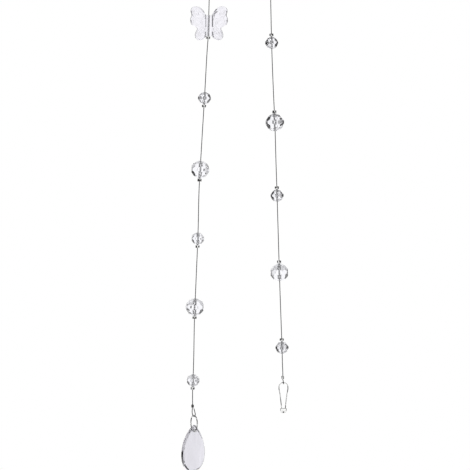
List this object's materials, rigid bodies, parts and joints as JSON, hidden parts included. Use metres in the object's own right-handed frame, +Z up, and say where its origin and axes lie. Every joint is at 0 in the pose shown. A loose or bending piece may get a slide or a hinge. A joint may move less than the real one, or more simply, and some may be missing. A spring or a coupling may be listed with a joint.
{
  "type": "bead curtain",
  "caption": "One string of a bead curtain, doubled over its pole: clear cut beads on metal stops, a clear butterfly, a pear-shaped drop on a ring, and a bulb pin.",
  "frame": {"origin": "underside of the string's fold, where it rests on the top of the pole", "axes": "+Z up, with the string hanging towards -Z; -Y is the front, and +X is to the right seen from it, with the drop's length at -X and the pin's length at +X"},
  "size_m": [0.0859, 0.0148, 0.5218],
  "materials": {
    "bead_glass": "clear, cut and polished",
    "drop_glass": "clear with a faint cool tint, polished",
    "butterfly_acrylic": "clear moulded acrylic with a faint cool tint",
    "plated_metal": "bright silver plating",
    "string_grey": "grey coated beading wire, smooth"
  },
  "bodies": {
    "root": {"string": "string_grey", "bead_01_small": "bead_glass", "bead_02_large": "bead_glass", "bead_03_small": "bead_glass", "bead_04_large": "bead_glass", "bead_05_small": "bead_glass", "bead_06_small": "bead_glass", "bead_07_large": "bead_glass", "bead_08_small": "bead_glass", "bead_09_large": "bead_glass", "bead_10_small": "bead_glass", "bead_11_large": "bead_glass", "bead_12_small": "bead_glass", "bead_13_large": "bead_glass", "bead_14_small": "bead_glass", "stop_01": "plated_metal", "stop_02": "plated_metal", "stop_03": "plated_metal", "stop_04": "plated_metal", "stop_05": "plated_metal", "stop_06": "plated_metal", "stop_07": "plated_metal", "stop_08": "plated_metal", "stop_09": "plated_metal", "stop_10": "plated_metal", "stop_11": "plated_metal", "stop_12": "plated_metal", "stop_13": "plated_metal", "stop_14": "plated_metal", "stop_butterfly": "plated_metal", "butterfly": "butterfly_acrylic", "crimp_drop_end": "plated_metal", "ring": "plated_metal", "drop": "drop_glass", "crimp_pin_end": "plated_metal", "pin_wire": "plated_metal", "pin_cap": "plated_metal"}
  },
  "joints": []
}
